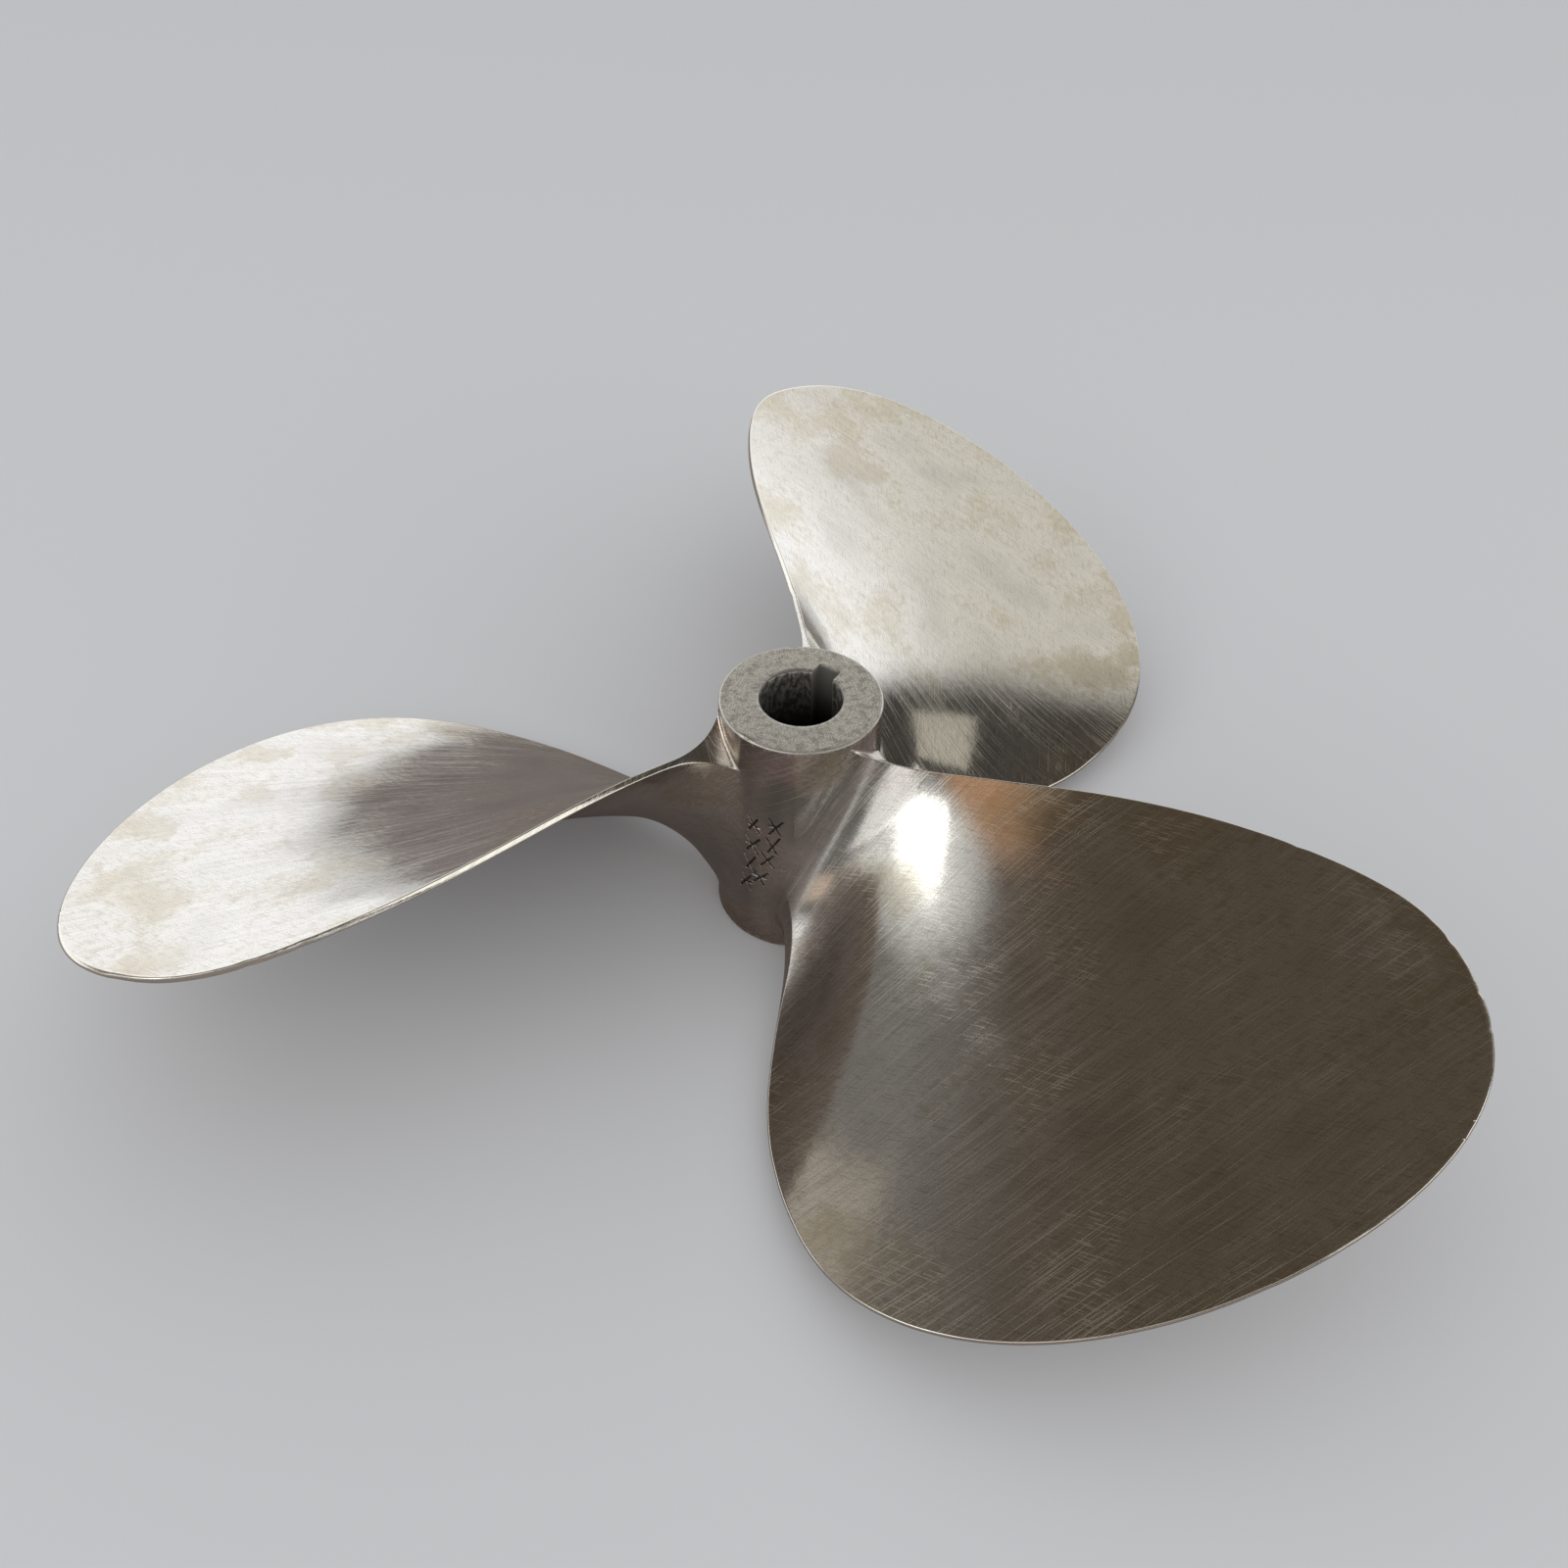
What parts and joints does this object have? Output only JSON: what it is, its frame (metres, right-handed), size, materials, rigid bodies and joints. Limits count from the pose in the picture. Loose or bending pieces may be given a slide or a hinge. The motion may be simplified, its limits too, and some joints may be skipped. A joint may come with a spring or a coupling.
{
  "type": "boat propeller",
  "caption": "Right-hand screw propeller cast in one piece, with broad skewed blades and a tapered, keyed hub bore.",
  "frame": {"origin": "on the shaft axis, at the height of the centre of mass, 46.7 mm above the forward face of the hub", "axes": "+Z along the shaft axis towards the aft, small end of the tapered bore; the tip of one blade is 38.1 degrees clockwise from +X, seen from +Z"},
  "size_m": [0.4089, 0.4126, 0.09],
  "materials": {
    "worn_bronze": "pale silvery propeller bronze, satin ground, scratched and stained, bright worn edges"
  },
  "bodies": {
    "root": {"propeller_casting": "worn_bronze"}
  },
  "joints": []
}
